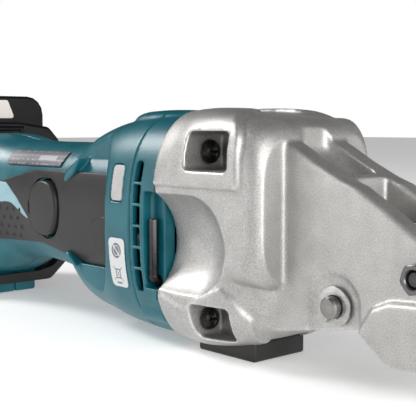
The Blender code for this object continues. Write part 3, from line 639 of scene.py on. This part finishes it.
UPPER_PAD = [(0.3, 19.4, 0), (52, 19.4, 1.2), (52, 42, 11), (30, 60, 0), (0.3, 60, 0)]
MIDDLE_PAD = [(0.3, -26.5, 0), (16, -30.8, 3), (30, -24, 2), (42.5, -18.4, 1), (42.5, 19.8, 0),
              (0.3, 19.8, 0)]
LOWER_PAD = [(0.3, -26.5, 0), (16, -30.8, 3), (29.5, -24, 2), (38, -20.4, 1.5), (43, -24, 3), (50, -32, 3),
             (47, -46, 0), (40, -60, 0), (0.3, -60, 0)]
CORNER = [(44, -22, 3), (62, -22, 9), (62, 44.5, 12), (50, 47, 6), (44, 47, 0)]


def pad(sections, grow, outline, side, trims=()):
    """A raised area that follows the casting's skin, with a crisp outline seen from the side."""
    low, high = sorted((side * 12, side * 60))
    piece = finished("pad", loft(sections, grow=grow), CAST)
    limits = [prism("XZ", low, high, rounded(outline)), *trims]
    shaped(piece, [("INTERSECT", [limit]) for limit in limits])
    work = bmesh.new()
    work.from_mesh(piece.data)
    bpy.data.objects.remove(piece)
    return work


def make_gear_case():
    """The alloy casting: gear room, tapered screw bosses, and two cheeks that carry the blades."""
    solids = [loft(CASE_FOOT), prism("XZ", -CHEEK_HALF, CHEEK_HALF, rounded(CHEEK), ease=1.6),
              prism("XZ", -BOSS_HALF, BOSS_HALF, rounded(JAW_BOSS), ease=2.0)]
    cuts = []
    for side in (-1, 1):
        for sections, grow, area in ((CASE_TOP, 2.1, UPPER_PAD), (CASE_TOP, 0.5, MIDDLE_PAD),
                                     (CASE_FOOT, 0.5, MIDDLE_PAD), (CASE_FOOT, 1.7, LOWER_PAD)):
            solids.append(pad(sections, grow, area, side))
        corner = rounded([(43, side * 12, 0), (43, side * 32, 0), (49, side * 36.4, 6),
                          (54.5, side * 36.4, 7), (61.8, side * 20.5, 1), (61.8, side * 12, 0)])
        solids.append(pad(CASE_TOP, 3.0, CORNER, side, [prism("XY", -40, 60, corner)]))
        cuts.append(scoop(side))
        low, high = sorted((side * 16.7, side * 20.0))
        arch = circle(PIVOT[0] - 0.3, PIVOT[1], 12.2, 48)[:25] + [Vector((73.5, -60)), Vector((97.9, -60))]
        cuts.append(prism("XZ", low, high, arch))
    for y, z in CASE_SCREWS:
        cuts.append(screw_pocket(y, z, 41.6 if z > 0 else -28.3))
        cuts.append(rod("X", (0, y, z), -3, 21.5, 2.9))
    mouth = rounded([(18.9, 14, 12), (18.9, -38.5, 18.5), (-18.9, -38.5, 18.5), (-18.9, 14, 12)])
    cuts.append(prism("YZ", -2, 8, mouth))
    cuts.append(rod("X", (0, 0, CRANK_Z), 7, 20.3, 18.4))
    bearing_bore = ((46, 0), (46, 8.3), (33.9, 8.3), (33.9, 6.2), (19, 6.2), (19, 0))
    cuts.append(turned("X", (0, 0, CRANK_Z), bearing_bore))
    slot = [(43.5, 1.5), (88, 1.5), (88, 60), (170, 60), (170, -60), (66, -60), (66, -33.6), (43.5, -33.6)]
    cuts.append(prism("XZ", -SLOT_HALF, SLOT_HALF, slot))
    trough = rounded([(58.8, 60, 0), (58.8, 34, 6), (84.5, 16, 0), (84.5, 60, 0)])
    cuts.append(prism("XZ", 0.3 - SLOT_HALF, SLOT_HALF - 0.3, trough, ease=3.5, segments=5))
    cuts.append(rod("Y", (PIVOT[0], 0, PIVOT[1]), -30, 30, 4.2))
    for x, z, *_ in NOSE_BOLTS:
        cuts.append(rod("Y", (x, 0, z), -30, 30, 3.4))
    case = finished("cast_gear_case", loft(CASE_TOP), CAST)
    shaped(case, (("UNION", solids), ("DIFFERENCE", cuts)))
    cast_round(case, CASE_VOXEL, 2)
    return stand_for(case, "gear_case")


# ---------------------------------------------------------------- fasteners

def pan_screw(name, axis, seat, radius, shank, length):
    """A pan-head screw with a cross recess, its head towards +axis."""
    rise = radius * 0.74
    turns = [math.pi / 2 * k / 10 for k in range(2, 11)]
    dome = [(rise * math.sin(turn), radius * (0.25 + 0.75 * math.cos(turn)) - 0.001) for turn in turns]
    profile = [(-length, 0), (-length, shank), (0, shank), (0, radius * 0.96), (rise * 0.1, radius)] + dome
    screw = finished(name, turned(axis, seat, profile + [(rise, 0)]), OXIDE)
    along = WAYS[axis]
    flat = [way for key, way in WAYS.items() if key != axis]
    middle = Vector(seat) + along * (rise - 0.2)
    cuts = []
    for wide, thin in (flat, flat[::-1]):
        half = along * 1.7 + wide * radius * 0.5 + thin * radius * 0.11
        cuts.append(block(middle - half, middle + half, ease=0.12))
    core = Vector(seat) + along * rise
    cuts.append(turned(axis, core, ((1, 0), (1, radius * 0.3), (-1.8, 0.05), (-1.8, 0)), 24))
    return shaped(screw, (("DIFFERENCE", cuts),))


def make_screws():
    for number, (y, z) in enumerate(CASE_SCREWS, 1):
        screw = pan_screw(f"case_screw_{number}", "X", (21.1, y, z), 5.0, 2.4, 34.5)
        stand_for(screw, f"gear_case_screw_{number}")
    for number, seat in enumerate(TOP_SCREWS, 1):
        stand_for(pan_screw(f"shell_screw_{number}", "Z", seat, 3.6, 1.4, 7), f"top_screw_{number}")


def make_nose_fasteners():
    """Socket screws from the left, with chamfered nuts on the right cheek."""
    for number, (x, z, half, turn) in enumerate(NOSE_BOLTS, 1):
        low, high = -half - 5.3, -half - 0.3
        nut = finished(f"hex_nut_{number}", prism("XZ", low, high, circle(x, z, 5.77, 6, turn)), OXIDE)
        chamfer = turned("Y", (x, 0, z), ((low, 0), (low, 4.8), (low + 0.7, 5.9), (high - 0.3, 5.9),
                                          (high, 5.3), (high, 0)))
        well = turned("Y", (x, 0, z), ((low - 1, 0), (low - 1, 4.3), (low + 0.5, 3.3), (high + 1, 3.3),
                                       (high + 1, 0)))
        shaped(nut, (("INTERSECT", [chamfer]), ("DIFFERENCE", [well])))
        nut.data.set_sharp_from_angle(angle=math.radians(25))
        stand_for(nut, f"nose_nut_{number}")
        reach = half + 5.3
        bolt = turned("Y", (x, 0, z), ((reach + 1, 0), (reach + 1, 4.4), (reach + 0.4, 5), (half + 0.8, 5),
                                       (half + 0.3, 4.6), (half + 0.3, 3), (-reach + 1.6, 3),
                                       (-reach + 1, 2.4), (-reach + 1, 0)))
        screw = finished(f"socket_screw_{number}", bolt, OXIDE)
        shaped(screw, (("DIFFERENCE", [prism("XZ", reach - 2.5, reach + 4, circle(x, z, 2.9, 6))]),))
        screw.data.set_sharp_from_angle(angle=math.radians(35))
        stand_for(screw, f"nose_bolt_{number}")
    pin = finished("pivot_pin_turned", rod("Y", (PIVOT[0], 0, PIVOT[1]), -22, 22, 4.0, ease=0.8), PIN_STEEL)
    pin.data.set_sharp_from_angle(angle=math.radians(35))
    stand_for(pin, "pivot_pin")
    for label in ("right", "left"):
        stand_for(eased(f"snap_clip_{label}", f"e_clip_{label}", STEEL, 0.18), f"e_clip_{label}")


def make_hex_key():
    """A true hexagon bar: the long leg lies across the tool and the short leg shows in the recess."""
    work = bmesh.new()
    bar = work.faces.new([work.verts.new(spot(KEY[0] + u, 30, KEY[1] + v)) for u, v in circle(0, 0, 2.15, 6)])
    straight = bmesh.ops.extrude_face_region(work, geom=[bar])["geom"]
    verts = [item for item in straight if isinstance(item, bmesh.types.BMVert)]
    bmesh.ops.translate(work, verts=verts, vec=(0, -56 * MM, 0))
    end = [item for item in straight if isinstance(item, bmesh.types.BMFace)]
    turned_bar = bmesh.ops.spin(work, geom=end, cent=spot(KEY[0], -26, KEY[1] + 3.2), axis=(1, 0, 0),
                                angle=-math.pi / 2, steps=10, use_duplicate=False)["geom_last"]
    tip = [item for item in turned_bar if isinstance(item, bmesh.types.BMFace)]
    rise = bmesh.ops.extrude_face_region(work, geom=tip)["geom"]
    verts = [item for item in rise if isinstance(item, bmesh.types.BMVert)]
    bmesh.ops.translate(work, verts=verts, vec=(0, 0, 24.0 * MM))
    bmesh.ops.remove_doubles(work, verts=work.verts, dist=1e-6)
    bmesh.ops.recalc_face_normals(work, faces=work.faces)
    key = finished("hexagon_key", work, OXIDE)
    edge = key.modifiers.new("broken_edge", "BEVEL")
    edge.width = 0.22 * MM
    edge.segments = 2
    edge.angle_limit = math.radians(40)
    settle(key)
    return stand_for(key, "hex_key")


def make_blades():
    for name, node, material, width in (("forged_swing_arm", "swing_arm", BLADE, 0.7),
                                        ("ground_center_blade", "center_blade", STEEL, 0.35),
                                        ("ground_side_blade_right", "side_blade_right", BLADE, 0.4),
                                        ("ground_side_blade_left", "side_blade_left", BLADE, 0.4)):
        stand_for(eased(name, node, material, width), node)


# ---------------------------------------------------------------- motor ring and shells

RING = ((-17.0, 33, -49, 49, 2.7), (-0.5, 33, -49, 49, 2.7))
COLLAR = ((-17.3, 33, -49, 49, 2.7), (-36, 32.6, -47.5, 47.3, 2.7), (-50, 31, -45.5, 45.2, 2.6),
          (-64, 28.6, -43.3, 41.2, 2.6), (-72, 27.4, -39.5, 37.4, 2.6), (-81, 26.5, -30, 35.2, 2.6))
HANDLE = ((-30, 26.5, -30, 35.3, 2.6), (-80, 26.5, -29.5, 35.3, 2.6), (-100, 26.2, -27.3, 35.4, 2.6),
          (-125, 26, -26.6, 35.5, 2.6), (-142, 27.5, -29, 36.5, 2.6), (-156, 31, -35.5, 38.6, 2.7),
          (-168, 33.5, -40, 39.6, 2.9), (-174, 33.8, -40.3, 39.8, 2.9))
HOLLOW = ((-14, 29.5, -45.5, 45.5, 2.7), (-34, 29, -44, 44, 2.7), (-38.5, 23.8, -42, 42, 2.7),
          (-64, 23.8, -39, 37.8, 2.6), (-80, 23.4, -26.9, 32.5, 2.6), (-120, 23.2, -24, 32.7, 2.6),
          (-142, 24.6, -26, 33.6, 2.6), (-170, 30, -36, 36, 2.9))
BUMP_REAR = ((-46, 6, 38, 45.8, 2.5), (-40, 12, 38, 49.6, 2.6), (-28, 14, 38, 50.7, 3),
             (-17.3, 14, 38, 50.9, 3))
BUMP_FRONT = ((-17, 14, 38, 50.9, 3), (-6, 13, 38, 50.4, 3), (-0.5, 12, 38, 49.6, 3))
VENTS = (23.8, 14.6, 5.4, -3.8, -13.0, -22.2)


def make_motor_ring():
    """The front teal band, with its vent column, the key's recess and the screw bosses."""
    hollow = [loft(RING, grow=-3.2, ends=4, pitch=8)]
    solids = [block((-9.3, -31.5, -30.2), (-0.5, -20.7, 20))]
    cuts = [block((-8.1, -50, -25.5), (4, -26.7, 16), ease=1.6),
            rod("Y", (KEY[0], 0, KEY[1]), -30, 60, 2.6)]
    for y, z in CASE_SCREWS:
        solids.append(rod("X", (0, y, z), -16.8, -0.7, 6.5))
        cuts.append(rod("X", (0, y, z), -14.5, 4, 2.8))
    for side in (-1, 1):
        low, high = sorted((side * 24, side * 40))
        for number, z in enumerate(VENTS):
            outline = [(-15.3, z - 4.0, 0), (-10.1, z - 4.0, 0), (-10.1, z + 4.0, 0), (-15.3, z + 4.0, 0)]
            if number == 0:
                outline = [(u, v + 1.0 * (v > z), 2.4 * (v > z)) for u, v, _ in outline]
            if number == 5:
                outline = [(u, v - 1.5 * (v < z), 2.4 * (v < z)) for u, v, _ in outline]
            cuts.append(prism("XZ", low, high, rounded(outline)))
        low, high = sorted((side * 31, side * 60))
        cuts.append(block((-9.6, low, 28.9), (4, high, 29.35)))
    ring = finished("vented_motor_ring", loft(RING, pitch=4), TEAL)
    shaped(ring, (("UNION", [loft(BUMP_FRONT)]), ("DIFFERENCE", hollow), ("UNION", solids),
                  ("DIFFERENCE", cuts)))
    cast_round(ring, RING_VOXEL, 2)
    return stand_for(ring, "motor_ring")


def make_gasket():
    """The amber sealing ring between the motor ring and the case, open where the key lies."""
    band = ((-0.9, 33, -49, 49, 2.7), (0.3, 33, -49, 49, 2.7))
    seal = finished("sealing_ring", loft(band, grow=0.1, pitch=0.6), SEAL)
    shaped(seal, (("DIFFERENCE", [loft(band, grow=-1.8, ends=2, pitch=0.6), scoop(-1), scoop(1),
                                  block((-3, -50, -25.5), (2, -26.7, 16))]),))
    seal.data.set_sharp_from_angle(angle=math.radians(40))
    return stand_for(seal, "case_gasket")


def rim_outline():
    """The edge of the collar seen from the side: upright at the front, swept back at top and bottom."""
    points = []
    for step in range(96):
        across, up = squarish(2 * math.pi * step / 96, 4)
        points.append((-130 + 94 * across, 4 + 46 * up))
    return points


def oval(grow):
    """The switch button's outline, grown by grow."""
    points = []
    for step in range(72):
        across, up = squarish(2 * math.pi * step / 72, 2.3)
        points.append((BUTTON[0] + (BUTTON_HALF[0] + grow) * across,
                       BUTTON[1] + (BUTTON_HALF[1] + grow) * up))
    return points


WINDOW_OUTLINE = [(-32, 27, 2), (-23, 27, 2), (-23, 10.5, 2), (-32, 10.5, 2)]


def make_shells():
    """Two moulded halves: collar, handle and foot."""
    for label, side in (("right", -1), ("left", 1)):
        low, high = sorted((side * 20, side * 60))
        rim = prism("XZ", low, high, [(x, max(z, -22)) for x, z in rim_outline()])
        far_low, far_high = sorted((side * 24.4, side * 60))
        lower_rim = prism("XZ", far_low, far_high, rim_outline(), ease=1.2)
        solids = [loft(HANDLE), loft(BUMP_REAR), block((-174.2, -13.5, -52), (-169.5, 13.5, -36), ease=1.0)]
        near, far = sorted((side * 20, side * 27.4))
        fin = rounded([(-77, 17.5, 1), (-75, 22.5, 1.5), (-62, 29.8, 0.6), (-69, 20.5, 3), (-75, 16.5, 1)])
        crescent = rounded([(-79, -17.5, 0.8), (-74, -16.8, 3), (-64.5, -24.5, 0.6), (-71, -22.6, 4)])
        solids += [prism("XZ", near, far, fin, ease=0.8), prism("XZ", near, far, crescent, ease=0.8)]
        cuts = [loft(HOLLOW, pitch=4), block((-180, -17, -22), (-165, 17, 22)),
                prism("XZ", low, high, rounded(WINDOW_OUTLINE))]
        if side < 0:
            cuts.append(prism("XZ", low, high, oval(0.6)))
        else:
            for seat in TOP_SCREWS:
                cuts += [rod("Z", seat, -9, 1, 1.7), rod("Z", seat, -0.3, 14, 3.95)]
        near, far = sorted((side * HALF_SEAM, side * 80))
        half = finished(f"shell_{label}", loft(COLLAR), TEAL)
        shaped(half, (("DIFFERENCE", [rim, lower_rim]), ("UNION", solids), ("DIFFERENCE", cuts),
                      ("INTERSECT", [block((-260, near, -80), (40, far, 80))])))
        cast_round(half, SHELL_VOXEL, 2)
        stand_for(half, f"housing_{label}")


def skin_patch(name, sections, outline, inner, outer, side, material, node=None, extra=(), cuts=(),
               voxel=0.5):
    """A patch that follows the shell's skin between two offsets."""
    low, high = sorted((side * 12, side * 60))
    patch = finished(name, loft(sections, grow=outer), material)
    steps = [("DIFFERENCE", [loft(sections, grow=inner, ends=4)]),
             ("INTERSECT", [prism("XZ", low, high, outline)])]
    if extra:
        steps.append(("UNION", list(extra)))
    if cuts:
        steps.append(("DIFFERENCE", list(cuts)))
    shaped(patch, steps)
    cast_round(patch, voxel, 2)
    return stand_for(patch, node) if node else patch


GRIP_EDGE = [(-150, 12, 6), (-104, 22, 0), (-37.4, 22, 0), (-37.4, -10, 0), (-39, -24.5, 0), (-62, -22, 0),
             (-100, -15, 12), (-150, -17, 6)]


def grip_surface(x, z, side, rise):
    """How far out to one side the handle's skin is at x, z, lifted by rise."""
    half_width, low, high, power = glide(HANDLE, x)
    middle = (low + high) / 2
    ratio = abs((z - middle) / ((high - low) / 2 + rise))
    return side * (half_width + rise) * (1 - ratio ** power) ** (1 / power)


def make_grips():
    for label, side in (("right", -1), ("left", 1)):
        dots = []
        for row in range(4):
            for column in range(5):
                x = -146 + 6.5 * column + 3.2 * (row % 2)
                z = -13 + 4.6 * row
                dots.append(turned("Y", (x, grip_surface(x, z, side, 1.5), z),
                                   ((-1.2, 0), (-0.9, 0.8), (0, 1.2), (0.9, 0.8), (1.2, 0)), 20))
        cuts = []
        if side < 0:
            low, high = -60, -12
            cuts = [prism("XZ", low, high, oval(1.4)),
                    block((-108.5, low, -1), (-104, high, 6), ease=1)]
        skin_patch(f"soft_grip_{label}", HANDLE, rounded(GRIP_EDGE), 0.35, 1.7, side, GRIP, f"grip_{label}",
                   dots, cuts, 0.5)
        flame = rounded([(-150, 8, 0), (-137, 14.5, 3), (-130.5, 14.5, 4), (-120, 7, 20), (-107, -4.5, 0.6),
                         (-114, -1.8, 20), (-126, 4.2, 10), (-150, 3.4, 0)])
        inlay = skin_patch(f"flame_inlay_{label}", HANDLE, flame, 1.2, 2.0, side, FLAME, voxel=0.4)
        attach(inlay, "body")
        disc = [point for point in circle(-44, -8.5, 11, 64) if point.x < -38.2]
        pad = skin_patch(f"round_pad_{label}", HANDLE, disc, 1.2, 2.1, side, GRIP, voxel=0.5)
        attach(pad, "body")


def make_shell_fittings():
    for label, side in (("right", -1), ("left", 1)):
        inset = rounded([(-31.6, 26.6, 1.6), (-23.4, 26.6, 1.6), (-23.4, 10.9, 1.6), (-31.6, 10.9, 1.6)])
        skin_patch(f"window_{label}", COLLAR, inset, -2.2, -0.4, side, WINDOW, f"side_window_{label}",
                   voxel=0.35)
    label_edge = rounded([(-32, -5.5, 2), (-20.5, -5.5, 2), (-20.5, -27.5, 2), (-32, -27.5, 2)])
    skin_patch("safety_film", COLLAR, label_edge, 0.1, 0.6, -1, LABEL, "info_label", voxel=0.25)
    plate_edge = rounded([(-135, 31, 1), (-83, 31, 1), (-85, 23.6, 1), (-135, 23.6, 1)])
    skin_patch("rating_film_plate", HANDLE, plate_edge, 0.1, 0.8, -1, RATING, "rating_plate", voxel=0.3)
    button = finished("oval_switch_button", prism("XZ", -29.4, -18, oval(0), ease=1.6, segments=6), GRIP)
    stand_for(button, "switch_button")
    for name, node, width in (("rubber_pad", "bottom_pad", 1.2), ("rubber_bumper", "foot_bumper", 0.8)):
        stand_for(eased(name, node, GRIP, width), node)


# ---------------------------------------------------------------- battery

def make_battery():
    stand_for(eased("pack_front_case", "battery_case", BLACK, 0.9), "battery_case")
    stand_for(eased("pack_rear_cover", "battery_cover", BLACK, 0.9), "battery_cover")
    stand_for(eased("pack_label", "battery_label", CREAM, 0.15), "battery_label")
    button = finished("pack_release", block((-183.2, -12, 32), (-176.3, 12, 43), ease=1.2), BLACK)
    grooves = [block((-177.0, -9, z - 0.5), (-175.5, 9, z + 0.5), ease=0.2) for z in (34.5, 36.5, 38.5, 40.5)]
    shaped(button, (("DIFFERENCE", grooves),))
    stand_for(button, "battery_release_button")


def dress_cad_nodes():
    """Gives every CAD node its finish. It shows on those that no piece replaces."""
    finishes = {"steel": STEEL, "blade_steel": BLADE, "black_plastic": BLACK, "copper": COPPER,
                "casting": CAST, "window": WINDOW, "gasket": SEAL, "board": BOARD, "elastomer": GRIP,
                "black_steel": OXIDE, "teal_plastic": TEAL, "pale_film": CREAM}
    for node, item in frame["nodes"].items():
        item.data.materials.clear()
        item.data.materials.append(finishes[SLOT_OF[node]])


# ---------------------------------------------------------------- stage

def make_stage():
    """White floor and surround. The room is bright in front and dark behind, with three soft boxes."""
    work = bmesh.new()
    bmesh.ops.create_grid(work, x_segments=1, y_segments=1, size=6)
    paper = Finish("white_paper")
    paper.set(Base_Color=grey(0.9), Roughness=0.8 + paper.noise(40.0) * 0.1)
    paper.shader.inputs["Emission Color"].default_value = (1, 1, 1, 1)
    paper.shader.inputs["Emission Strength"].default_value = 0.3
    floor = finished("floor", work, paper.material)
    bpy.context.scene.view_settings.view_transform = "Standard"
    world = bpy.data.worlds.new("studio")
    bpy.context.scene.world = world
    world.use_nodes = True
    tree = world.node_tree
    nodes, links = tree.nodes, tree.links
    nodes.clear()
    out = nodes.new("ShaderNodeOutputWorld")
    seen = nodes.new("ShaderNodeBackground")
    seen.inputs["Color"].default_value = (1, 1, 1, 1)
    seen.inputs["Strength"].default_value = 1.0
    room = nodes.new("ShaderNodeBackground")
    room.inputs["Strength"].default_value = 1.0
    shade = nodes.new("ShaderNodeValToRGB")
    for position, level in ((0.0, 0.04), (0.42, 0.11), (0.66, 0.5)):
        stop = shade.color_ramp.elements.new(position)
        stop.color = (level, level, level, 1)
    shade.color_ramp.elements.remove(shade.color_ramp.elements[0])
    coord = nodes.new("ShaderNodeTexCoord")
    toward = nodes.new("ShaderNodeVectorMath")
    toward.operation = "DOT_PRODUCT"
    toward.inputs[1].default_value = Vector((0.85, -0.25, -0.35)).normalized()
    scale = nodes.new("ShaderNodeMapRange")
    scale.inputs["From Min"].default_value = -1
    links.new(coord.outputs["Generated"], toward.inputs[0])
    links.new(toward.outputs["Value"], scale.inputs["Value"])
    links.new(scale.outputs[0], shade.inputs["Fac"])
    links.new(shade.outputs[0], room.inputs["Color"])
    path = nodes.new("ShaderNodeLightPath")
    mix = nodes.new("ShaderNodeMixShader")
    links.new(path.outputs["Is Camera Ray"], mix.inputs[0])
    links.new(room.outputs[0], mix.inputs[1])
    links.new(seen.outputs[0], mix.inputs[2])
    links.new(mix.outputs[0], out.inputs["Surface"])
    middle = spot(20, 0, 0)
    for name, place, size, power in (("front_softbox", (1.45, -0.2, 0.2), 1.2, 25),
                                     ("side_softbox", (-0.85, -1.1, 0.2), 0.8, 4),
                                     ("upper_softbox", (-1.05, -0.55, 0.9), 0.45, 13)):
        lamp = bpy.data.lights.new(name, "AREA")
        lamp.size = size
        lamp.energy = power
        holder = bpy.data.objects.new(name, lamp)
        bpy.context.scene.collection.objects.link(holder)
        holder.location = middle + Vector(place)
        holder.rotation_euler = (middle - holder.location).to_track_quat("-Z", "Y").to_euler()


def make_camera():
    """Low and to the front right, with a long lens."""
    lens = bpy.data.cameras.new("camera")
    lens.sensor_width = 36
    lens.lens = 81.5
    camera = bpy.data.objects.new("camera", lens)
    bpy.context.scene.collection.objects.link(camera)
    camera.location = spot(307.0, -278.8, 43.8)
    camera.rotation_euler = (math.radians(85), 0, math.radians(48))
    bpy.context.scene.camera = camera


make_camera()
make_stage()
dress_cad_nodes()
make_gear_case()
make_screws()
make_nose_fasteners()
make_hex_key()
make_blades()
make_motor_ring()
make_gasket()
make_shells()
make_grips()
make_shell_fittings()
make_battery()
